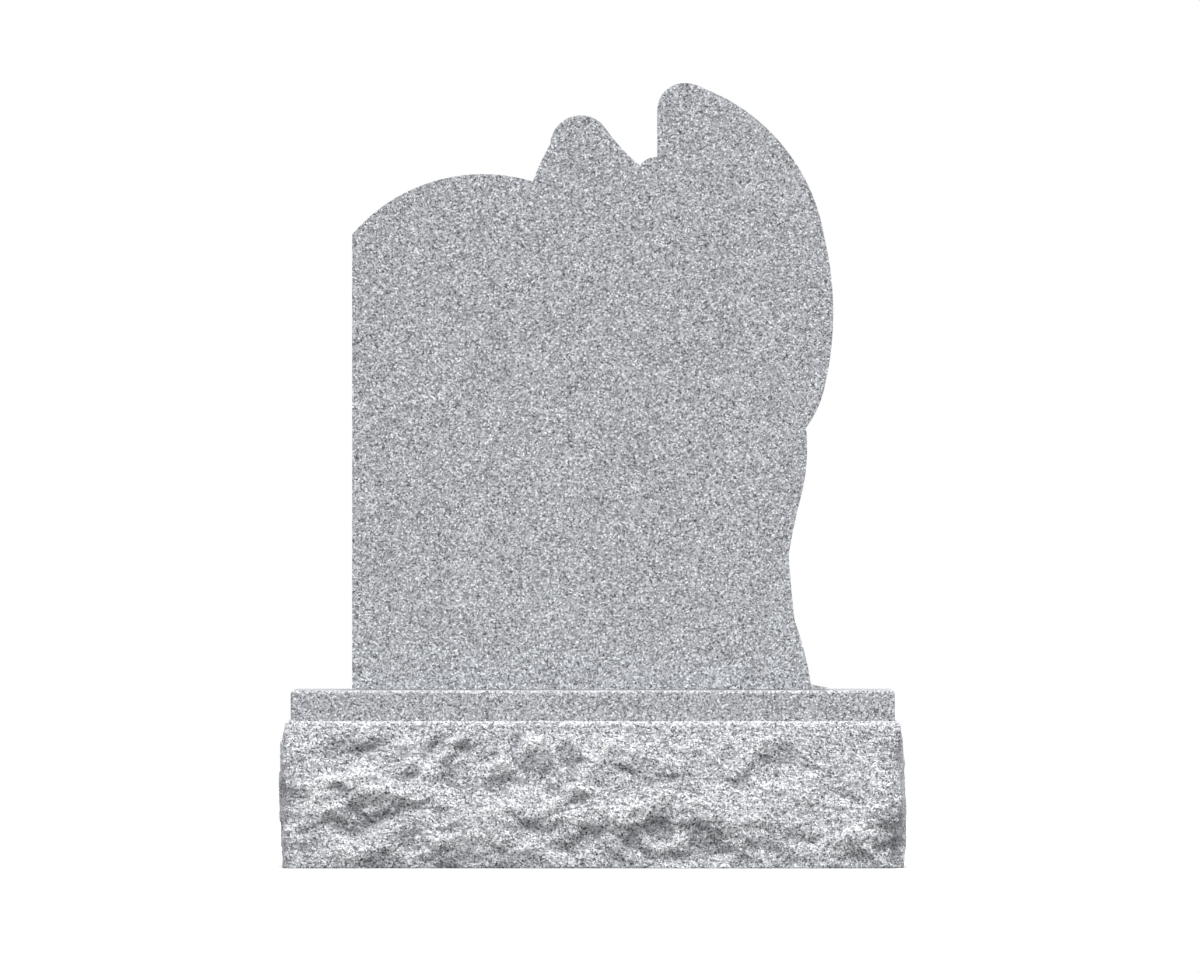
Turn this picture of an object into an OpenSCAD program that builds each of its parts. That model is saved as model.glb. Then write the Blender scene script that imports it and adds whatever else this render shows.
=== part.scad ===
// Granite headstone whose die is cut to the outline of a winged angel beside a tablet.
// The die stands on a thin setting bed on a one-block base with a smooth margin course
// above rock-pitched faces. Millimetres, +Z up, origin under the middle of the base,
// the front towards -Y.

/* [Die] */
// Width of the die over its widest points
die_w = 550; // [440:1:680]
// Height of the die, from its bed to the wing's tip
die_h = 693; // [570:1:840]
// Thickness of the die, front to back
die_t = 152; // [80:1:220]

/* [Tablet] */
// Drop from the wing's tip to the tablet's outer shoulder
tablet_drop = 173; // [150:1:260]
// Rise of the tablet's round crown over the chord between its ends
crown_rise = 32; // [5:0.5:50]

/* [Angel] */
// Radius of the angel's head
head_r = 34.5; // [20:0.5:42]
// Distance from the die's right edge in to the head's centre
head_in = 289; // [270:0.5:310]
// Drop from the wing's tip to the head's centre
head_drop = 71; // [60:0.5:90]
// Distance from the right edge in to where the tablet meets the shoulder
shoulder_in = 343.5; // [335:0.5:360]
// Drop from the wing's tip to where the tablet meets the shoulder
shoulder_drop = 112.5; // [105:0.5:130]
// Distance from the right edge in to the wing's upright inner edge
wing_in = 201; // [190:0.5:212]
// Radius of the wing's tip
wing_tip_r = 30.5; // [15:0.5:36]
// How far the wing's back bows out between its shoulder and its lowest feather
wing_bow = 10.5; // [0:0.5:20]
// Height above the bed of the notch under the wing
wing_foot = 299; // [270:1:330]
// Depth of the notch under the wing, in from the right edge
notch_in = 31; // [10:0.5:45]
// Height above the bed of the robe's waist
waist_up = 154; // [120:1:180]
// Depth of the robe's waist, in from the right edge
waist_in = 51; // [30:0.5:80]
// Depth of the robe's hem, in from the right edge
hem_in = 25.5; // [24.5:0.5:45]
// Length of the toe that runs out from under the hem
toe_run = 20; // [5:0.5:24]
// Height of the toe where it leaves the hem
toe_up = 5; // [2:0.5:10]

/* [Setting bed] */
// Thickness of the setting compound between the die and the base
bed_t = 1; // [0.5:0.5:6]
// How far the compound is raked back from the die's faces
bed_rake = 0.5; // [0.5:0.5:8]

/* [Base] */
// Width of the base over its rock faces
base_w = 717; // [590:1:900]
// Depth of the base over its rock faces, front to back
base_d = 311; // [240:1:400]
// Height of the base from its underside to its top
base_h = 203; // [150:1:280]
// Height of the smooth margin course round the top
margin_h = 35; // [15:0.5:60]
// How far the margin stands back from the rock faces
margin_back = 14; // [10:0.5:24]
// Radius of the eased edge round the top
ease_r = 3.5; // [1:0.5:8]

/* [Rock faces] */
// Height above the ground at which the faces swell out furthest
swell_up = 80; // [40:1:100]
// Height above the ground up to which they lean back
lean_up = 132; // [110:1:150]
// How far the faces lean back above the swell
top_fall = 2; // [0:0.5:5]
// How far the faces fall back from the swell to the underside
foot_fall = 3; // [0:0.5:8]
// How far each face falls back towards its upright arrises
arris_fall = 7; // [0:0.5:10]
// Length of face over which it falls back to an arris
arris_run = 50; // [30:1:90]
// Height of the rounded shoulder under the margin
shoulder_up = 7; // [4:0.5:12]
// Depth of the rounded shoulder, front to back
shoulder_deep = 4.5; // [2:0.5:6]
// Width of the ledge between the shoulder and the margin
ledge = 2.5; // [1:0.5:3.5]
// Height under the shoulder over which the flakes run out to its pitched line
pitch_run = 30; // [15:1:60]
// How far the flakes' edges sway to either side
sway_reach = 6; // [0:0.5:8]
// Number of flakes pitched off the ends and the back
flakes = 47; // [10:1:80]
// Half the length of the longest of them
flake_l = 74; // [30:1:90]
// Depth of the deepest of them
flake_cut = 8.5; // [4:0.5:12]
// Spacing of the points along the rock faces
cell_l = 12; // [9:0.5:24]
// Spacing of the points up the rock faces
cell_h = 10; // [8:0.5:16]

/* [Hidden] */

arc_step = 3;    // degrees of turn in each straight piece of an arc
lap = 12;        // how far the margin's block reaches down into the rock course
rock_h = base_h - margin_h;
granite = [0.69, 0.70, 0.72];

// ---- the die's outline ----

// Points of the arc from a round to b that stands out from its chord by rise, to the left
// of the way it is travelled. The first point is left out, and a negative rise is a hollow.
function bow(a, b, rise) =
    let (c = norm(b - a))
    abs(rise) < 0.01 ? [b] :
    let (r = (c * c / 4 + rise * rise) / (2 * rise),
         across = [b.y - a.y, a.x - b.x] / c,
         centre = (a + b) / 2 + across * (r - rise),
         start = atan2(a.y - centre.y, a.x - centre.x),
         sweep = -sign(rise) * 2 * asin(min(1, c / 2 / abs(r))),
         n = max(2, ceil(abs(sweep) / arc_step)))
    [for (i = [1:n]) centre + abs(r) * [cos(start + sweep * i / n), sin(start + sweep * i / n)]];

// A place given from the die's right edge and its top, and one from its right edge and its bed
function high(in, drop) = [die_w / 2 - in, die_h - drop];
function low(in, up) = [die_w / 2 - in, up];

// Where the outline's stretches meet
bed_left = [-die_w / 2, 0];
tablet_left = [-die_w / 2, die_h - tablet_drop];
shoulder_left = high(shoulder_in, shoulder_drop);
head_mid = high(head_in, head_drop);
head_left = head_mid + head_r * [-1, 0.05];
head_right = head_mid + head_r * [0.83, 0.56];
shoulder_right = high(221, 94.5);
wing_root = high(wing_in, 84.5);
wing_up = high(wing_in, wing_tip_r);
wing_tip = high(wing_in - wing_tip_r, 0);
wing_turn = high(147.5, 6.5);
wing_bend = high(62, 66.5);
wing_back = high(wing_bow, 175);
wing_low = low(wing_bow, wing_foot + 44);
wing_notch = low(notch_in, wing_foot);
elbow = low(35.5, waist_up + 72);
waist = low(waist_in, waist_up);
skirt = low(44.5, 80);
hem = low(hem_in, toe_up);
toe = low(hem_in - toe_run, 1);
bed_right = low(hem_in - toe_run, 0);

// The outline from the bed's left end up over the tablet and the angel to the toe
outline = concat(
    [bed_left, tablet_left],
    bow(tablet_left, shoulder_left, crown_rise),      // the tablet's crown
    bow(shoulder_left, head_left, 1),                 // the hair down the left side
    bow(head_left, head_right, 0.67 * head_r),        // the head
    bow(head_right, shoulder_right, -2),              // the hollow of the neck
    bow(shoulder_right, wing_root, 3),                // the near shoulder
    [wing_up],                                        // the wing's upright inner edge
    bow(wing_up, wing_tip, 0.293 * wing_tip_r),       // the wing's tip
    bow(wing_tip, wing_turn, 1.6),
    bow(wing_turn, wing_bend, 6.5),                   // the wing's back
    bow(wing_bend, wing_back, 8.5),
    bow(wing_back, wing_low, wing_bow),
    bow(wing_low, wing_notch, 2.5),                   // the lowest feather
    bow(wing_notch, elbow, 3),                        // the sleeve
    bow(elbow, waist, -1),                            // the robe's waist
    bow(waist, skirt, -0.5),
    bow(skirt, hem, 2),                               // the skirt
    [toe, bed_right]);

// ---- the rock faces ----

// The base's four upright faces in turn, from the front's left end: each has the way it
// looks, its distance from the middle, and its length
faces = [for (k = [0:3]) k % 2 == 0 ? [90 * k - 90, base_d / 2, base_w] : [90 * k - 90, base_w / 2, base_d]];
girth = 2 * (base_w + base_d);
face_start = [0, base_w, base_w + base_d, 2 * base_w + base_d];

// Share of a whole turn that the i-th of a well-spread series lands on
function spread(i, ratio) = (0.5 + i * ratio) % 1;

// Each flake: its place along the girth, its height, half its length and height, its tilt
// and its depth. Those on the front are placed by hand, from the middle.
front_flakes = [
    [-190, -10, 190, 74, 0, 8], [60, -14, 150, 80, 0, 9], [250, -10, 150, 64, 0, 8],
    [-268, 137, 60, 24, 16, 11], [-318, 118, 34, 26, 10, 7], [-190, 142, 24, 26, -4, 8],
    [-148, 140, 24, 28, -12, 8], [-168, 114, 34, 26, -10, 8], [-88, 150, 26, 22, 0, 8],
    [-72, 118, 38, 34, 0, 12], [-24, 130, 28, 28, 6, 10], [-120, 88, 36, 24, 8, 8],
    [112, 138, 44, 30, 4, 6], [210, 126, 26, 26, 0, 9], [180, 116, 60, 36, 6, 5],
    [290, 140, 54, 44, 5, 5], [-264, 52, 68, 48, 12, 14], [-214, 26, 18, 20, 0, 9],
    [-68, 56, 50, 22, -14, 11], [4, 48, 34, 20, -4, 9], [16, 30, 42, 28, 4, 8],
    [76, 52, 32, 28, 8, 13], [104, 32, 68, 48, -6, 9.5], [128, 36, 38, 32, -34, 13],
    [150, 10, 44, 24, -5, 9.5], [188, 14, 34, 26, -10, 9], [-254, 8, 40, 26, 8, 10],
    [-170, 12, 28, 28, 0, 9], [-134, 8, 44, 26, -3, 9], [306, 10, 36, 24, 0, 9],
    [340, 32, 26, 34, 0, 10]];
scattered = [for (i = [1:flakes])
    let (size = 0.5 + 0.5 * spread(i, 0.6180))
    [base_w + (girth - base_w) * spread(i, 0.7549), rock_h * spread(i, 0.5698) - 10,
     flake_l * size, 0.7 * flake_l * size, 30 * spread(i, 0.4142) - 15, flake_cut * size]];
all_flakes = concat([for (f = front_flakes) concat(f[0] + base_w / 2, [for (k = [1:5]) f[k]])], scattered);

// Slanting waves that the places on the faces are bent by: each has its share of the reach,
// its number round the girth and its height
waves = [[1, 13, 150], [0.67, 22, -95], [0.33, 35, 60]];
function sway(s, z, turn, k = 0) =
    k == len(waves) ? 0 :
    sway_reach * waves[k][0] * sin(turn * (k + 1) + 360 * (waves[k][1] * s / girth + z / waves[k][2]))
        + sway(s, z, turn, k + 1);

// Depth of one flake at s along the girth and z up: a bowl, steep above and drawn out below
function bowl(f, s, z) =
    let (ds = (s - f[0] + 1.5 * girth) % girth - girth / 2, dz = z - f[1],
         u = ds * cos(f[4]) + dz * sin(f[4]), v = dz * cos(f[4]) - ds * sin(f[4]))
    abs(ds) > f[2] + f[3] ? 0 : f[5] * (1 - pow(u / f[2], 2) - pow(v / (v > 0 ? 0.7 * f[3] : f[3]), 2));

// Share of a rise from one place to another, run in and out smoothly
function smooth(from, to, at) = let (f = max(0, min(1, (at - from) / (to - from)))) f * f * (3 - 2 * f);

// How far the rock face lies back from the base's outline: the swell, the fall to the arris
// and the deepest flake there, which all run out to one pitched line under the shoulder
function lie_back(s, z, arris) =
    let (fall = top_fall * smooth(swell_up, lean_up, z) + foot_fall * pow(max(0, 1 - z / swell_up), 2),
         turn = arris_fall * pow(max(0, 1 - arris / arris_run), 2),
         bent_s = s + sway(s, z, 60), bent_z = z + sway(s, z, 150) / 2,
         pitched = max(0, max([for (f = all_flakes) bowl(f, bent_s, bent_z)])),
         near = smooth(face_h - pitch_run, face_h, z))
    (fall + turn + pitched) * (1 - near) + (margin_back - ledge - shoulder_deep) * near;

// One ring of points: each face's point moves in along the face's own normal, and the
// face shortens by what its two arrises give up
function ring(z, extra) = [for (k = [0:3])
    let (way = faces[k][0], off = faces[k][1], len = faces[k][2],
         out = [cos(way), sin(way)], along = [-sin(way), cos(way)], n = round(len / cell_l),
         first = lie_back(face_start[k], z, 0) + extra,
         last = lie_back((face_start[k] + len) % girth, z, 0) + extra)
    for (i = [0:n - 1])
        let (t = len * i / n, arris = min(t, len - t),
             back = lie_back(face_start[k] + t, z, arris) + extra,
             shift = first * (1 - i / n) - last * i / n,
             p = out * (off - back) + along * (t - len / 2 + shift))
        [p.x, p.y, z]];

// A plain ring at one distance in from the base's outline
function plain_ring(z, in) = [for (k = [0:3])
    let (way = faces[k][0], off = faces[k][1], len = faces[k][2],
         out = [cos(way), sin(way)], along = [-sin(way), cos(way)], n = round(len / cell_l))
    for (i = [0:n - 1])
        let (p = out * (off - in) + along * (len / 2 - in) * (2 * i / n - 1))
        [p.x, p.y, z]];

// The rings from the underside up the faces, over the shoulder and in under the margin
face_h = rock_h - shoulder_up;
rows = round(face_h / cell_h);
rings = concat(
    [for (j = [0:rows]) ring(face_h * j / rows, 0)],
    [for (a = [30:30:90])
        [for (p = ring(face_h, shoulder_deep * (1 - cos(a)))) [p.x, p.y, face_h + shoulder_up * sin(a)]]],
    [plain_ring(rock_h, margin_back + lap)]);

// Closed skin over a stack of rings, with a middle point under the first and over the last
module skin(stack) {
    m = len(stack);
    n = len(stack[0]);
    points = concat([for (r = stack) for (p = r) p], [[0, 0, stack[0][0].z], [0, 0, stack[m - 1][0].z]]);
    sides = [for (j = [0:m - 2]) for (i = [0:n - 1])
        let (a = j * n + i, b = j * n + (i + 1) % n) each [[a, a + n, b + n], [a, b + n, b]]];
    under = [for (i = [0:n - 1]) [m * n, i, (i + 1) % n]];
    over = [for (i = [0:n - 1]) [m * n + 1, (m - 1) * n + (i + 1) % n, (m - 1) * n + i]];
    polyhedron(points, concat(sides, under, over), convexity = 6);
}

// ---- the stones ----

// Upright slab between two heights with the two ends of its top edge eased
module eased_slab(w, deep, low_z, top_z) {
    rotate([90, 0, 0])
        linear_extrude(deep, center = true)
            polygon(concat([[w / 2, low_z], [-w / 2, low_z]],
                [[-w / 2, top_z - ease_r]],
                bow([-w / 2, top_z - ease_r], [ease_r - w / 2, top_z], 0.293 * ease_r),
                [[w / 2 - ease_r, top_z]],
                bow([w / 2 - ease_r, top_z], [w / 2, top_z - ease_r], 0.293 * ease_r)));
}

// Smooth margin course: its top edge is eased all round
module margin_course() {
    w = base_w - 2 * margin_back;
    d = base_d - 2 * margin_back;
    intersection() {
        eased_slab(w, d, rock_h - lap, base_h);
        rotate([0, 0, 90]) eased_slab(d, w, rock_h - lap, base_h);
    }
}

module base() {
    color(granite) union() {
        margin_course();
        skin(rings);
    }
}

// The die: the whole outline at one thickness
module die() {
    color(granite)
        translate([0, die_t / 2, base_h + bed_t])
            rotate([90, 0, 0])
                linear_extrude(die_t) polygon(outline);
}

// Setting compound squeezed out to just short of the die's faces
module setting_bed() {
    foot = bed_right.x - bed_left.x;
    color([0.62, 0.62, 0.61])
        translate([bed_left.x + bed_rake, -die_t / 2 + bed_rake, base_h])
            cube([foot - 2 * bed_rake, die_t - 2 * bed_rake, bed_t]);
}

die();
setting_bed();
base();
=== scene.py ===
# Granite headstone cut to the outline of an angel: the stones' finish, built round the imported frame.
import math

import bpy
import numpy as np
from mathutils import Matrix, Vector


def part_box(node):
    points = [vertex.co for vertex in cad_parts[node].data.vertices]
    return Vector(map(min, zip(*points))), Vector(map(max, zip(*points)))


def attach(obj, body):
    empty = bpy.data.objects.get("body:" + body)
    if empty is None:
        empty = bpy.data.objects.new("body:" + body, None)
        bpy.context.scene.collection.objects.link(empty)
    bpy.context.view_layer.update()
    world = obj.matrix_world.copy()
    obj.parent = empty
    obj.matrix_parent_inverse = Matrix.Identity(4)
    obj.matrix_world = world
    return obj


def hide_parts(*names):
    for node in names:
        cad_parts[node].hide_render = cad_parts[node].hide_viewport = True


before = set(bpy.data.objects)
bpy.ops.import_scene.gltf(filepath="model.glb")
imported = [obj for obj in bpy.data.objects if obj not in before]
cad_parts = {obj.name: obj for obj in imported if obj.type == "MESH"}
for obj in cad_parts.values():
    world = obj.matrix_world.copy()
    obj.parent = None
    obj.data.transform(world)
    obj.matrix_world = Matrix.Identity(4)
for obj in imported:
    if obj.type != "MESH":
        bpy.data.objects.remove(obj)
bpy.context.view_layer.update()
mm = 0.001

print("stage: helpers")


def skinOfRings(name, rings, material, upper, split):
    # Closed skin over a stack of rings: quads between neighbours, a fan from a middle point at each end.
    # From the ring numbered split upwards it wears the upper material
    count, around = rings.shape[:2]
    row = np.arange(count - 1)[:, None] * around
    here = np.arange(around)[None, :]
    after = (here + 1) % around
    quads = np.stack([row + here, row + after, row + around + after, row + around + here], -1).reshape(-1, 4)
    here, after = here[0], after[0]
    low, high, top = count * around, count * around + 1, (count - 1) * around
    under = np.stack([np.full(around, low), after, here], -1)
    over = np.stack([np.full(around, high), top + here, top + after], -1)
    middles = np.array([[0, 0, rings[0, 0, 2]], [0, 0, rings[-1, 0, 2]]])
    places = np.concatenate([rings.reshape(-1, 3), middles])
    corners = np.concatenate([quads.ravel(), under.ravel(), over.ravel()])
    starts = np.concatenate([np.arange(len(quads)) * 4, len(quads) * 4 + np.arange(2 * around) * 3])
    mesh = bpy.data.meshes.new(name)
    mesh.vertices.add(len(places))
    mesh.vertices.foreach_set("co", places.astype(np.float32).ravel())
    mesh.loops.add(len(corners))
    mesh.loops.foreach_set("vertex_index", corners.astype(np.int32))
    mesh.polygons.add(len(starts))
    mesh.polygons.foreach_set("loop_start", starts.astype(np.int32))
    mesh.update(calc_edges=True)
    mesh.validate()
    mesh.shade_smooth()
    mesh.materials.append(material)
    mesh.materials.append(upper)
    belongs = np.arange(len(starts)) >= split * around
    belongs[len(quads):len(quads) + around] = False
    mesh.polygons.foreach_set("material_index", belongs.astype(np.int32))
    piece = bpy.data.objects.new(name, mesh)
    bpy.context.scene.collection.objects.link(piece)
    return piece


def join(tree, source, target):
    # A socket is linked; a number or colour is written on the target socket
    if isinstance(source, bpy.types.NodeSocket):
        tree.links.new(source, target)
    elif isinstance(source, tuple) and target.type == "RGBA":
        target.default_value = (*source, 1)
    else:
        target.default_value = source


def mathNode(tree, operation, *values):
    node = tree.nodes.new("ShaderNodeMath")
    node.operation = operation
    for value, socket in zip(values, node.inputs):
        join(tree, value, socket)
    return node.outputs[0]


def vectorNode(tree, operation, *values):
    node = tree.nodes.new("ShaderNodeVectorMath")
    node.operation = operation
    for value, socket in zip(values, node.inputs):
        join(tree, value, socket)
    return node.outputs["Value" if operation == "DOT_PRODUCT" else "Vector"]


def mixNode(tree, factor, first, second, blend="MIX"):
    node = tree.nodes.new("ShaderNodeMix")
    node.data_type = "RGBA"
    node.blend_type = blend
    for value, socket in ((factor, node.inputs[0]), (first, node.inputs[6]), (second, node.inputs[7])):
        join(tree, value, socket)
    return node.outputs[2]


def noiseNode(tree, vector, scale, detail):
    node = tree.nodes.new("ShaderNodeTexNoise")
    node.inputs["Scale"].default_value = scale
    node.inputs["Detail"].default_value = detail
    join(tree, vector, node.inputs["Vector"])
    return node


def cellNode(tree, vector, scale):
    node = tree.nodes.new("ShaderNodeTexVoronoi")
    node.inputs["Scale"].default_value = scale
    join(tree, vector, node.inputs["Vector"])
    draw = tree.nodes.new("ShaderNodeSeparateColor")
    join(tree, node.outputs["Color"], draw.inputs[0])
    return node, draw


def newMaterial(name):
    material = bpy.data.materials.new(name)
    material.use_nodes = True
    tree = material.node_tree
    tree.nodes.clear()
    shader = tree.nodes.new("ShaderNodeBsdfPrincipled")
    output = tree.nodes.new("ShaderNodeOutputMaterial")
    join(tree, shader.outputs["BSDF"], output.inputs["Surface"])
    return material, tree, shader


print("stage: granite")

grainLook = {
    "minerals": (                          # share of the crystals up to which each runs, and its colour
        (0.00, (0.100, 0.102, 0.109)),     # black mica
        (0.05, (0.110, 0.112, 0.120)),
        (0.08, (0.215, 0.222, 0.237)),     # grey quartz
        (0.42, (0.345, 0.355, 0.375)),
        (0.50, (0.410, 0.421, 0.443)),     # pale feldspar
        (0.86, (0.580, 0.596, 0.628)),
        (1.00, (0.880, 0.900, 0.940))),
    "fleck": (0.060, 0.061, 0.064),        # the finest dark flecks
    "middle": (0.430, 0.441, 0.462),       # their mean, which a rough finish tends to
    "large": (0.760, 0.775, 0.800),        # scattered large crystals
    "bend": 0.7,                           # how far crystal borders wander, in crystals
    "bends": 1.1,                          # bends per crystal
    "fleckCells": 1.9,                     # cells for the flecks per crystal
    "largeCells": 0.33,                    # cells for the large crystals per crystal
    "largeShare": 0.07,                    # share of these cells that hold one
    "largeFade": (-3.0, 1.6),              # its strength: change over the way out, and at its middle
    "largeShow": 0.45,                     # how strongly it shows through
    "cloud": 24,                           # crystals across one slow cloud of tone
    "cloudDepth": 0.07,                    # change of tone from cloud to cloud
}


def graniteGroup(look):
    group = bpy.data.node_groups.new("graniteGrain", "ShaderNodeTree")
    face = group.interface
    face.new_socket("Vector", in_out="INPUT", socket_type="NodeSocketVector")
    for name, value in (("Crystal Size", 0.002), ("Fleck Share", 0.06), ("Contrast", 1.0), ("Tone", 1.0)):
        face.new_socket(name, in_out="INPUT", socket_type="NodeSocketFloat").default_value = value
    face.new_socket("Color", in_out="OUTPUT", socket_type="NodeSocketColor")
    for name in ("Facet", "Gloss"):
        face.new_socket(name, in_out="OUTPUT", socket_type="NodeSocketFloat")
    given = group.nodes.new("NodeGroupInput")
    result = group.nodes.new("NodeGroupOutput")

    # Place counted in crystals, bent by a noise so that the borders wander
    perCrystal = mathNode(group, "DIVIDE", 1.0, given.outputs["Crystal Size"])
    counted = group.nodes.new("ShaderNodeVectorMath")
    counted.operation = "SCALE"
    join(group, given.outputs["Vector"], counted.inputs[0])
    join(group, perCrystal, counted.inputs["Scale"])
    wander = noiseNode(group, counted.outputs[0], look["bends"], 2)
    bent = vectorNode(group, "MULTIPLY_ADD", wander.outputs["Color"], (look["bend"],) * 3, counted.outputs[0])

    # Each crystal draws one number, and its mineral and shade follow from it
    crystals, draw = cellNode(group, bent, 1.0)
    ramp = group.nodes.new("ShaderNodeValToRGB")
    stops = ramp.color_ramp.elements
    for share, color in look["minerals"]:
        stop = stops[0] if share == 0 else stops[-1] if share == 1 else stops.new(share)
        stop.color = (*color, 1)
    join(group, draw.outputs["Red"], ramp.inputs[0])
    stone = ramp.outputs["Color"]

    # Finer dark flecks lie over them
    _, fine = cellNode(group, bent, look["fleckCells"])
    flecked = mathNode(group, "LESS_THAN", fine.outputs["Green"], given.outputs["Fleck Share"])
    stone = mixNode(group, flecked, stone, look["fleck"])

    # A few large pale crystals show faintly through: the near part of rare large cells
    large, rare = cellNode(group, bent, look["largeCells"])
    chosen = mathNode(group, "LESS_THAN", rare.outputs["Blue"], look["largeShare"])
    inside = mathNode(group, "MULTIPLY_ADD", large.outputs["Distance"], *look["largeFade"])
    inside.node.use_clamp = True
    shown = mathNode(group, "MULTIPLY", chosen, inside)
    stone = mixNode(group, mathNode(group, "MULTIPLY", shown, look["largeShow"]), stone, look["large"])

    # The contrast and tone that the finish leaves, and slow clouds over them
    stone = mixNode(group, given.outputs["Contrast"], look["middle"], stone)
    stone.node.clamp_factor = False
    cloud = noiseNode(group, counted.outputs[0], 1 / look["cloud"], 2)
    depth = look["cloudDepth"]
    level = mathNode(group, "MULTIPLY_ADD", cloud.outputs["Fac"], 2 * depth, 1 - depth)
    level = mathNode(group, "MULTIPLY", level, given.outputs["Tone"])
    grey = group.nodes.new("ShaderNodeCombineColor")
    for socket in grey.inputs:
        join(group, level, socket)
    stone = mixNode(group, 1.0, stone, grey.outputs[0], "MULTIPLY")
    stone.node.clamp_result = True
    join(group, stone, result.inputs["Color"])

    # Each crystal's broken face tilts its own way: its height is the way out from its middle along a
    # direction drawn for it
    out = vectorNode(group, "SUBTRACT", bent, crystals.outputs["Position"])
    lean = vectorNode(group, "SUBTRACT", crystals.outputs["Color"], (0.5, 0.5, 0.5))
    join(group, vectorNode(group, "DOT_PRODUCT", out, lean), result.inputs["Facet"])
    join(group, draw.outputs["Blue"], result.inputs["Gloss"])
    return group


graniteGrain = graniteGroup(grainLook)


def graniteMaterial(name, look):
    # crystal: size of a crystal. flecks, contrast, tone: given to the grain. roughness, glint: the dullest
    # crystal's roughness, and how much less the brightest has. facet: height of the crystals' faces.
    # grit: height of the splinters, or 0 for none; their size, rise, narrowing and detail follow it.
    # bruise: change of tone per millimetre that a face stands proud or sunk, or 0 for none, up to proudest
    # millimetres: paler on struck crests, and darker in hollows as painted shade.
    # shadedWallContrast, wallFacet: what a wall that looks down adds: to its crystals' colour contrast, as
    # painted light and shade in the shadow under an overhang, and to the height of their facets
    material, tree, shader = newMaterial(name)
    where = tree.nodes.new("ShaderNodeTexCoord")
    grain = tree.nodes.new("ShaderNodeGroup")
    grain.node_tree = graniteGrain
    join(tree, where.outputs["Object"], grain.inputs["Vector"])
    for socket, setting in (("Crystal Size", "crystal"), ("Fleck Share", "flecks"), ("Contrast", "contrast"),
                            ("Tone", "tone")):
        grain.inputs[socket].default_value = look[setting]
    facet = grain.outputs["Facet"]
    if look["bruiseAndShade"]:
        # Walls that look down are rougher, and their crystals' colours are pushed further apart: painted
        # light and shade that stands in for crystals catching light in the shade under an overhang
        wall = tree.nodes.new("ShaderNodeAttribute")
        wall.attribute_name = "wall"
        contrast = mathNode(tree, "MULTIPLY_ADD", wall.outputs["Fac"], look["shadedWallContrast"], look["contrast"])
        join(tree, contrast, grain.inputs["Contrast"])
        rougher = mathNode(tree, "MULTIPLY_ADD", wall.outputs["Fac"], look["wallFacet"], 1.0)
        facet = mathNode(tree, "MULTIPLY", facet, rougher)
        # Struck crests are paler from the blows, and hollows are darkened with painted shade: the tone
        # follows how far the face stands proud, within limits
        proud = tree.nodes.new("ShaderNodeAttribute")
        proud.attribute_name = "proud"
        capped = mathNode(tree, "MINIMUM", proud.outputs["Fac"], look["proudest"])
        capped = mathNode(tree, "MAXIMUM", capped, -look["proudest"])
        tone = mathNode(tree, "MULTIPLY_ADD", capped, look["tone"] * look["bruiseAndShade"], look["tone"])
        join(tree, tone, grain.inputs["Tone"])
    join(tree, grain.outputs["Color"], shader.inputs["Base Color"])
    rough = mathNode(tree, "MULTIPLY_ADD", grain.outputs["Gloss"], -look["glint"], look["roughness"])
    join(tree, rough, shader.inputs["Roughness"])
    bump = tree.nodes.new("ShaderNodeBump")
    bump.inputs["Distance"].default_value = look["facet"]
    join(tree, facet, bump.inputs["Height"])
    if look["grit"]:
        # Splinters thinner than they are long, rising to one side
        lie = tree.nodes.new("ShaderNodeMapping")
        lie.inputs["Rotation"].default_value = (0, look["splinterRise"], 0)
        lie.inputs["Scale"].default_value = look["splinterShape"]
        join(tree, where.outputs["Object"], lie.inputs["Vector"])
        splinters = noiseNode(tree, lie.outputs[0], 1 / look["splinter"], look["splinterDetail"])
        under = tree.nodes.new("ShaderNodeBump")
        under.inputs["Distance"].default_value = look["grit"]
        join(tree, splinters.outputs["Fac"], under.inputs["Height"])
        join(tree, under.outputs["Normal"], bump.inputs["Normal"])
    join(tree, bump.outputs["Normal"], shader.inputs["Normal"])
    return material


smoothGranite = graniteMaterial("smoothGranite", {
    "crystal": 1.6 * mm, "flecks": 0.05, "contrast": 1.13, "tone": 1.0, "roughness": 0.72, "glint": 0.2,
    "facet": 0.10 * mm, "grit": 0, "bruiseAndShade": 0})
# Its bruise pales the crests and darkens the hollows with painted shade
rockGranite = graniteMaterial("rockGranite", {
    "crystal": 1.7 * mm, "flecks": 0.05, "contrast": 1.02, "tone": 1.56, "roughness": 0.85, "glint": 0.3,
    "facet": 1.9 * mm, "grit": 3.0 * mm, "splinter": 4 * mm, "splinterRise": math.radians(-25),
    "splinterShape": (0.4, 0.4, 1), "splinterDetail": 2.5,
    "shadedWallContrast": 0.3, "wallFacet": 1.5, "bruiseAndShade": 0.075, "proudest": 4})

print("stage: base")

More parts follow.
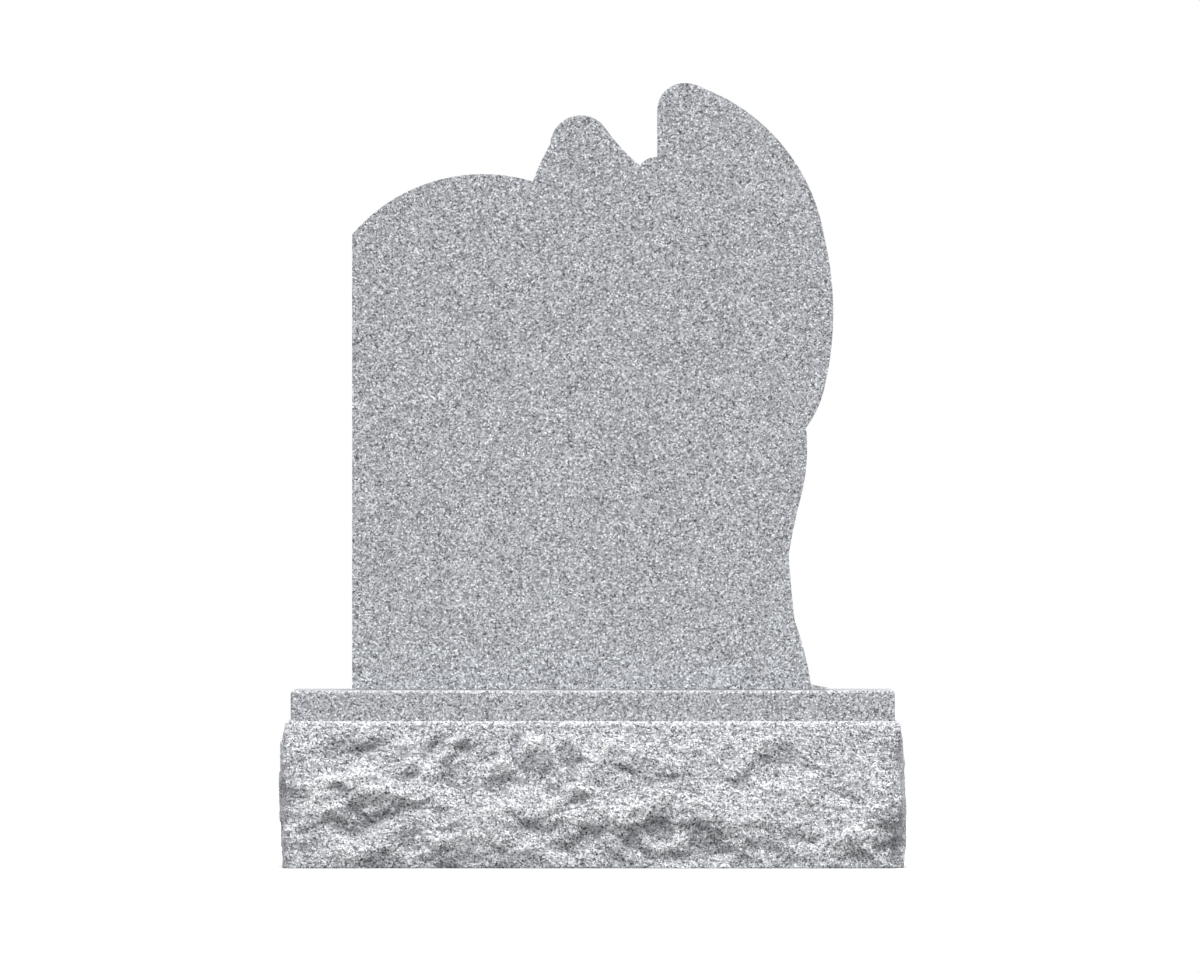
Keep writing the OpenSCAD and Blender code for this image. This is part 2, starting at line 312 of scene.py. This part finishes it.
baseLow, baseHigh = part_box("base")
baseLook = {                       # millimetres and degrees
    "width": 2 * min(baseHigh.x, -baseLow.x) / mm,
    "depth": 2 * min(baseHigh.y, -baseLow.y) / mm,
    "height": (baseHigh.z - baseLow.z) / mm,
    "cell": 2.12,                  # spacing of the mesh's points
    "margin": 35,                  # height of the smooth margin course
    "marginBack": 14,              # how far it stands back from the rock faces
    "ease": 3.5, "easeSteps": 5,   # radius of the eased edge round the top
    "close": 0.3,                  # spacing of the rings that keep the margin's faces flat
    "shoulder": 4.5, "shoulderRise": 7, "shoulderSteps": 6,    # depth and height of the rounded shoulder
    "ledge": 2.5,                  # width of the ledge between the shoulder and the margin
    "swellUp": 80,                 # height at which the rock faces swell out furthest
    "leanUp": 132,                 # height up to which they lean back
    "topFall": 1, "footFall": 3,   # how far they fall back above the swell and below it
    "arrisFall": 4.5, "arrisRun": 40,      # how far they fall back to an arris, and over what length
    "pitchRun": 30,                # height over which the flakes run out under the shoulder
    "pitchVary": 0.6, "pitchCell": 16,     # how much that height varies, and over what length
    "sways": ((6, 13, 150), (4, 22, -95), (2, 35, 60)),   # reach, waves round the girth, height of a wave
    "swayTurns": (60, 150),        # where the sways along and up begin in their waves
    "swayLift": 0.5,               # share of the reach of the sways up
    "fret": 8, "fretLift": 0.8, "fretCell": 20,    # finer wandering of the flakes' edges
    "flakes": 38,                  # flakes on the ends and the back
    "firstFlake": 20,              # their first draw
    "flakeLength": 74,             # half the length of the longest of them
    "flakeCut": 6.5,               # depth of the deepest of them
    "chips": (                     # count, longest half, height share, deepest cut, first draw
        (300, 40, 0.45, 2.2, 500),
        (900, 20, 0.55, 1.3, 3000),
        (4000, 9, 0.60, 1.3, 7000)),
    "chipLean": 4, "chipTurn": 16, "chipTilt": 50,     # mean tilt, its change round the girth, its spread
    "wallShare": 0.7, "wallPower": 1.3,    # a flake's steep wall: its share of the half height, its curve
    "soften": 1.0,                 # share of a flake's depth over which its crest is blunted
    "blunt": 0.25,                 # share of that by which it is cut down at most
    "rough": 1.4, "roughCell": 34,         # height of the slow roughness, and its largest cell
    "pitted": 0.25, "pitCell": 4.4,        # height of the pits, and their cell
    "crest": 0.005,                # share of the points that is dressed to the outline
    "steepest": 0.5,               # overhang, per height, at which a wall is roughest
    # Seeds of the random heights
    "seeds": {"fretAlong": 20, "fretUp": 40, "rough": 60, "pits": 70, "pitch": 90},
}
baseLook["rockHeight"] = baseLook["height"] - baseLook["margin"]
baseLook["faceHeight"] = baseLook["rockHeight"] - baseLook["shoulderRise"]
baseLook["girth"] = 2 * (baseLook["width"] + baseLook["depth"])
# The main flakes on the front: across from the middle, up, half length, half height, tilt, depth
mainFlakes = np.array([
    [-262, 138, 54, 26, 17, 9], [-186, 141, 22, 20, 25, 7], [-170, 106, 28, 20, 35, 8],
    [-212, 105, 30, 20, 10, 5], [-144, 135, 16, 26, 10, 5], [-90, 132, 15, 32, 0, 8],
    [-72, 112, 36, 30, 8, 8], [-26, 122, 17, 28, 0, 7], [-113, 94, 24, 22, 5, 8], [-146, 92, 20, 18, 0, 4],
    [-264, 50, 63, 26, 9, 11], [-298, 90, 14, 18, 0, 4], [-168, 42, 20, 16, 0, 4],
    [-70, 47, 34, 18, -13, 8], [-2, 36, 30, 30, 8, 7], [-14, 28, 16, 20, 20, 6], [78, 46, 22, 20, 15, 9],
    [58, 26, 14, 30, 0, 8], [134, 20, 28, 34, -15, 10], [122, 40, 24, 16, -25, 6],
    [108, 14, 34, 14, -8, 9], [76, 12, 22, 16, 0, 7], [38, 8, 20, 18, 0, 5], [184, 10, 26, 24, 0, 6],
    [358, 30, 24, 50, 0, 10], [312, -4, 32, 22, 10, 6], [-215, 25, 14, 18, -10, 6],
    [-255, 2, 40, 22, 5, 9], [-172, 0, 20, 22, 0, 5], [-128, 2, 36, 26, -12, 5], [-324, 22, 12, 18, 0, 3],
    [207, 116, 20, 20, 15, 6], [226, 134, 30, 24, 10, 8], [46, 108, 54, 24, 0, 4], [172, 98, 22, 22, 0, 5],
    [-14, 74, 28, 18, 10, 4], [-150, 84, 60, 50, 0, 4], [300, 160, 90, 106, 0, 5],
    [-190, -14, 190, 70, 0, 8], [30, -14, 120, 60, 0, 9], [250, -14, 150, 64, 0, 3]], float)
# Irrational ratios, so that what follows from each is well spread and goes its own way
ratios = {"size": 0.6180, "along": 0.7549, "up": 0.5698, "tilt": 0.4142, "rise": 0.3247, "cut": 0.2360}


def spread(order, aspect):
    # Fractional part of a half plus a multiple of the aspect's ratio: well spread over 0 to 1
    return (0.5 + order * ratios[aspect]) % 1


def largeFlakes(look, lowest=-10, share=0.7, lean=15):
    # The front's flakes as listed, and others spread over the three faces beyond it. These are from half
    # of the greatest length to the whole, their height is a share of it, and they lean to either side
    front = mainFlakes.copy()
    front[:, 0] += look["width"] / 2
    order = look["firstFlake"] + np.arange(look["flakes"])
    size = 0.5 + 0.5 * spread(order, "size")
    length = look["flakeLength"] * size
    place = look["width"] + length + (look["girth"] - look["width"] - 2 * length) * spread(order, "along")
    others = np.stack([place, look["rockHeight"] * spread(order, "up") + lowest, length, share * length,
                       2 * lean * spread(order, "tilt") - lean, look["flakeCut"] * size], -1)
    return np.concatenate([front, others])


def chipFlakes(look, count, longest, heightShare, deepest, start, beyond=5):
    # Smaller flakes spread all round and a little beyond the face at top and bottom. Sizes run from 0.4 to 1,
    # heights from 0.8 to 1.4 of the height share, cuts from 0.5 to 1.3; the tilt turns slowly along the girth
    order = np.arange(start, start + count)
    size = 0.4 + 0.6 * spread(order, "size")
    place = look["girth"] * spread(order, "along")
    length = longest * size
    height = length * heightShare * (0.8 + 0.6 * spread(order, "rise"))
    tilt = (look["chipLean"] + look["chipTurn"] * np.cos(4 * np.pi * place / look["girth"])
            + look["chipTilt"] * (spread(order, "tilt") - 0.5))
    cut = deepest * size * (0.5 + 0.8 * spread(order, "cut"))
    up = (look["rockHeight"] + 2 * beyond) * spread(order, "up") - beyond
    return np.stack([place, up, length, height, tilt, cut], -1)


def sway(look, along, up, turn):
    # Sum of slanting sine waves that close on themselves round the girth
    waves = [reach * np.sin(math.radians(turn) * (k + 1)
                            + 2 * np.pi * (count * along / look["girth"] + up / height))
             for k, (reach, count, height) in enumerate(look["sways"])]
    return sum(waves)


def lattice(along, up, cell, girth, seed, stretch=1.3, tallest=260):
    # Random heights at the corners of a net that closes round the girth, blended by 3f^2 - 2f^3. Its cells
    # are stretched along the girth, and it starts two cells under the ground
    columns = round(girth / (stretch * cell))
    rows = int(tallest / cell) + 4
    heights = np.random.default_rng(seed).uniform(-1, 1, (rows, columns))
    s, z = along * (columns / girth), up / cell + 2
    column, row = np.floor(s).astype(int), np.floor(z).astype(int)
    f, g = s - column, z - row
    f, g = f * f * (3 - 2 * f), g * g * (3 - 2 * g)
    left, right = column % columns, (column + 1) % columns
    low, high = np.clip(row, 0, rows - 1), np.clip(row + 1, 0, rows - 1)
    under = heights[low, left] * (1 - f) + heights[low, right] * f
    over = heights[high, left] * (1 - f) + heights[high, right] * f
    return under * (1 - g) + over * g


def roughness(along, up, cell, girth, octaves, seed, fade=0.55):
    # Lattices of halving cell and fading height, added up
    return sum(fade ** k * lattice(along, up, cell / 2 ** k, girth, seed + k) for k in range(octaves))


def shortWay(distance, girth):
    # The same distance the short way round the girth
    return (distance + 1.5 * girth) % girth - girth / 2


def pitched(look, along, up, bentAlong, bentUp, flakes, tiltSlack=0.4, bendSlack=26):
    # Deepest flake at each point: depth (1 - (u/l)^2 - (v/h)^2) in the flake's own tilted axes, but above its
    # middle v over the wall's share of h to the wall's power, so that it has a steep wall above and is drawn
    # out below. The bending leaves each flake's middle in its place. Crests between flakes are blunted: over
    # the softened share of the depth, the blunt share of that times the closeness squared is added
    depth = np.zeros(bentAlong.shape)
    girth = look["girth"]
    for place, height, length, rise, tilt, cut in flakes:
        # Only the points within the flake's reach are worked out, with slack for its tilt and the bending
        near = np.abs(shortWay(along[0] - place, girth)) < length + tiltSlack * rise + bendSlack
        level = np.abs(up[:, 0] - height) < max(length, rise) + bendSlack
        window = np.ix_(np.flatnonzero(level), np.flatnonzero(near))
        row = min(np.searchsorted(up[:, 0], height), len(up) - 1)
        column = np.searchsorted(along[0], place % girth) % len(along[0])
        shift = bentAlong[row, column] - along[0, column]
        lift = bentUp[row, column] - up[row, 0]
        dx = shortWay(bentAlong[window] - shift - place, girth)
        dz = bentUp[window] - lift - height
        turn = math.radians(tilt)
        u = dx * math.cos(turn) + dz * math.sin(turn)
        v = dz * math.cos(turn) - dx * math.sin(turn)
        wall = np.where(v > 0, np.abs(v / (look["wallShare"] * rise)) ** look["wallPower"], (v / rise) ** 2)
        bowl = cut * (1 - (u / length) ** 2 - wall)
        close = np.maximum(1 - np.abs(depth[window] - bowl) / (look["soften"] * cut), 0)
        depth[window] = np.maximum(depth[window], bowl) + look["blunt"] * look["soften"] * cut * close ** 2
    return depth


def ringPlan(look):
    # For each column of points: outward direction, distance from the middle, face length, place along the
    # face, place along the girth, distance to the nearer arris
    columns, begin = [], 0
    faces = ((look["depth"] / 2, look["width"]), (look["width"] / 2, look["depth"])) * 2
    for k, (off, length) in enumerate(faces):
        way = math.radians(90 * k - 90)
        count = round(length / look["cell"])
        t = length * np.arange(count) / count
        one = np.ones(count)
        columns.append(np.stack([math.cos(way) * one, math.sin(way) * one, off * one, length * one, t,
                                 begin + t, np.minimum(t, length - t)], -1))
        begin += length
    return np.concatenate(columns)


def faceRuns(plan):
    # The column at which each face starts, and its count of columns
    starts = np.flatnonzero(plan[:, 4] == 0)
    return starts, np.diff(np.append(starts, len(plan)))


def placed(plan, back, height):
    # Each point moves in along its face's normal, and the face shortens by what its arrises give up
    outX, outY, off, length, t = plan.T[:5]
    starts, counts = faceRuns(plan)
    first = np.repeat(back[:, starts], counts, axis=1)
    last = np.repeat(np.roll(back[:, starts], -1, axis=1), counts, axis=1)
    share = t / length
    across = t - length / 2 + first * (1 - share) - last * share
    x = outX * (off - back) - outY * across
    y = outY * (off - back) + outX * across
    return np.stack([x, y, np.broadcast_to(height, x.shape)], -1)


def rockRelief(look, along, up):
    # The flakes are laid out on a face whose places are bent, first in long sways and then finely. Slow
    # roughness and pits are added to them
    girth, seeds = look["girth"], look["seeds"]
    wide = np.broadcast_arrays(along, up)
    bentAlong = wide[0] + sway(look, *wide, look["swayTurns"][0])
    bentAlong = bentAlong + look["fret"] * roughness(*wide, look["fretCell"], girth, 3, seeds["fretAlong"])
    bentUp = wide[1] + look["swayLift"] * sway(look, *wide, look["swayTurns"][1])
    lift = look["fretLift"] * look["fret"]
    bentUp = bentUp + lift * roughness(*wide, look["fretCell"], girth, 3, seeds["fretUp"])
    relief = pitched(look, along, up, bentAlong, bentUp, largeFlakes(look))
    for chips in look["chips"]:
        relief = relief + pitched(look, along, up, bentAlong, bentUp, chipFlakes(look, *chips))
    slow = roughness(bentAlong, bentUp, look["roughCell"], girth, 4, seeds["rough"])
    relief = relief + look["rough"] * (1 + slow)
    return relief + look["pitted"] * lattice(*wide, look["pitCell"], girth, seeds["pits"])


def rockBack(look, plan, up):
    # How far each point of the rock faces stands back from the outline. A face swells out furthest at one
    # height, leans back above it and falls away below, and falls back to the arrises
    along, arris = plan.T[5:, None]
    above = np.clip((up - look["swellUp"]) / (look["leanUp"] - look["swellUp"]), 0, 1)
    below = np.clip((look["swellUp"] - up) / look["swellUp"], 0, 1)
    fall = look["topFall"] * above ** 2 * (3 - 2 * above) + look["footFall"] * below ** 2
    turn = look["arrisFall"] * np.clip(1 - arris / look["arrisRun"], 0, None) ** 2
    back = fall + turn + rockRelief(look, along, up)
    # Each face is moved out until its foremost crests are dressed to the outline
    starts, counts = faceRuns(plan)
    crest = [np.quantile(face, look["crest"]) for face in np.split(back, starts[1:], axis=1)]
    back = np.maximum(back - np.repeat(crest, counts)[None, :], 0)
    # Under the shoulder the flakes run out to its pitched line, sooner in some places than in others
    wide = np.broadcast_arrays(along, up)
    vary = lattice(*wide, look["pitchCell"], look["girth"], look["seeds"]["pitch"])
    run = look["pitchRun"] * (1 + look["pitchVary"] * vary)
    near = np.clip(1 - (look["faceHeight"] - up) / run, 0, 1)
    near = near * near * (3 - 2 * near)
    return back * (1 - near) + (look["marginBack"] - look["ledge"] - look["shoulder"]) * near


def marginRings(look, plan, shoulder):
    # The ledge in from the shoulder's ring, the margin's upright faces and the eased edge round the top.
    # Close rings beside each edge keep the flat faces flat
    def level(inward, height):
        return placed(plan, np.full((1, len(plan)), inward), height)

    foot = level(look["marginBack"], look["rockHeight"])
    eased = look["height"] - look["ease"]
    rings = [0.5 * shoulder + 0.5 * foot, foot, level(look["marginBack"], look["rockHeight"] + look["close"]),
             level(look["marginBack"], eased - look["close"])]
    for angle in np.radians(np.arange(look["easeSteps"] + 1) * 90 / look["easeSteps"]):
        inward = look["marginBack"] + look["ease"] * (1 - math.cos(angle))
        rings.append(level(inward, eased + look["ease"] * math.sin(angle)))
    return rings + [level(look["marginBack"] + look["ease"] + look["close"], look["height"])]


def smoothAlong(values, reach):
    # Half of each value and a quarter of each of those reach columns away, round the girth
    return 0.5 * values + 0.25 * (np.roll(values, reach, 1) + np.roll(values, -reach, 1))


def smoothUp(values, reach):
    # The same up and down, where the first and last rows go on
    padded = np.pad(values, ((reach, reach), (0, 0)), mode="edge")
    return 0.5 * values + 0.25 * (padded[:-2 * reach] + padded[2 * reach:])


def standsProud(back, reaches=(2, 4, 6, 8, 10)):
    # How far each point stands out from the mean of its neighbourhood, smoothed in growing steps
    mean = back
    for reach in reaches:
        mean = smoothUp(smoothAlong(mean, reach), reach)
    return mean - back


def looksDown(back, rise, steepest, passes=2):
    # How steeply the smoothed face overhangs at each point: its fall outwards per height gained over the
    # steepest, between 0 and 1
    mean = back
    for _ in range(passes):
        mean = smoothAlong(smoothUp(mean, 1), 1)
    return np.clip(-np.gradient(mean, rise, axis=0) / steepest, 0, 1)


def rockBase(look, material, upper):
    # Rings up the rock faces, round the shoulder, and up the margin to the flat top
    plan = ringPlan(look)
    rows = round(look["faceHeight"] / look["cell"])
    up = (look["faceHeight"] * np.arange(rows + 1) / rows)[:, None]
    back = rockBack(look, plan, up)
    rings = [placed(plan, back, up)]
    for angle in np.radians(np.arange(1, look["shoulderSteps"] + 1) * 90 / look["shoulderSteps"]):
        rings.append(placed(plan, back[-1:] + look["shoulder"] * (1 - math.cos(angle)),
                            look["faceHeight"] + look["shoulderRise"] * math.sin(angle)))
    split = sum(map(len, rings)) + 1
    rings = np.concatenate(rings + marginRings(look, plan, rings[-1]))
    piece = skinOfRings("baseStone", rings * mm, material, upper, split)

    # What the rock's material reads at each point
    rise = look["faceHeight"] / rows
    for name, values in (("proud", standsProud(back)), ("wall", looksDown(back, rise, look["steepest"]))):
        whole = np.zeros(len(piece.data.vertices), np.float32)
        whole[:back.size] = values.ravel()
        piece.data.attributes.new(name, "FLOAT", "POINT").data.foreach_set("value", whole)
    return piece


baseStone = rockBase(baseLook, rockGranite, smoothGranite)
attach(baseStone, "root")
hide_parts("base")
print("base triangles", sum(len(face.vertices) - 2 for face in baseStone.data.polygons))

print("stage: die")


def finishNode(name, material):
    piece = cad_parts[name]
    piece.data.materials.clear()
    piece.data.materials.append(material)


finishNode("die", smoothGranite)
# The setting paste is its own material, but its grey is set paler than the stone's to lift the shade in its
# recess under the die: painted light
bedLook = {"color": (0.56, 0.57, 0.58), "roughness": 0.8}
bedPaste, _, bedShader = newMaterial("bedPaste")
bedShader.inputs["Base Color"].default_value = (*bedLook["color"], 1)
bedShader.inputs["Roughness"].default_value = bedLook["roughness"]
finishNode("setting_bed", bedPaste)

print("stage: camera and light")

viewLook = {"away": 30.0, "frameWidth": 1.3752, "across": 0.0083, "up": 0.4358,     # metres
            "sensor": 36, "seesTo": 100}               # millimetres, metres
lightLook = {"worldLevel": 0.50, "sunLevel": 3.95,
             "sunUp": 67, "sunAcross": 0, "sunWidth": 25}      # degrees

camera = bpy.data.objects.new("camera", bpy.data.cameras.new("camera"))
camera.data.sensor_width = viewLook["sensor"]
camera.data.lens = viewLook["sensor"] * viewLook["away"] / viewLook["frameWidth"]
camera.data.clip_end = viewLook["seesTo"]
camera.location = (viewLook["across"], -viewLook["away"], viewLook["up"])
camera.rotation_euler = (math.radians(90), 0, 0)
bpy.context.scene.collection.objects.link(camera)
bpy.context.scene.camera = camera

sun = bpy.data.objects.new("sun", bpy.data.lights.new("sun", "SUN"))
sun.data.energy = lightLook["sunLevel"]
sun.data.angle = math.radians(lightLook["sunWidth"])
sun.rotation_euler = (math.radians(90 - lightLook["sunUp"]), 0, math.radians(lightLook["sunAcross"]))
bpy.context.scene.collection.objects.link(sun)

world = bpy.data.worlds.new("studio")
bpy.context.scene.world = world
world.use_nodes = True
tree = world.node_tree
tree.nodes.clear()
# The background is white where it is seen, and lights the stone more dimly
path = tree.nodes.new("ShaderNodeLightPath")
seen = mathNode(tree, "MAXIMUM", path.outputs["Is Camera Ray"], path.outputs["Is Glossy Ray"])
seen = mathNode(tree, "MAXIMUM", seen, path.outputs["Is Transmission Ray"])
sky = tree.nodes.new("ShaderNodeBackground")
sky.inputs["Color"].default_value = (1, 1, 1, 1)
dim = lightLook["worldLevel"]
join(tree, mathNode(tree, "MULTIPLY_ADD", seen, 1 - dim, dim), sky.inputs["Strength"])
join(tree, sky.outputs[0], tree.nodes.new("ShaderNodeOutputWorld").inputs["Surface"])

floorLook = {
    "half": 4.0,                   # metres
    "tone": (0.35, 0.35, 0.35),    # as it lights the stone
    "seen": (0.92, 0.92, 0.92),
    "roughness": 0.9, "gloss": 0.1,
}
floorMesh = bpy.data.meshes.new("floor")
side = floorLook["half"]
corners = [(-side, -side, 0), (side, -side, 0), (side, side, 0), (-side, side, 0)]
floorMesh.from_pydata(corners, [], [(0, 1, 2, 3)])
floor = bpy.data.objects.new("floor", floorMesh)
bpy.context.scene.collection.objects.link(floor)
floorMaterial, tree, floorShader = newMaterial("paleFloor")
path = tree.nodes.new("ShaderNodeLightPath")
shade = mixNode(tree, path.outputs["Is Camera Ray"], floorLook["tone"], floorLook["seen"])
join(tree, shade, floorShader.inputs["Base Color"])
floorShader.inputs["Roughness"].default_value = floorLook["roughness"]
floorShader.inputs["Specular IOR Level"].default_value = floorLook["gloss"]
floorMesh.materials.append(floorMaterial)

bpy.context.scene.view_settings.view_transform = "Standard"
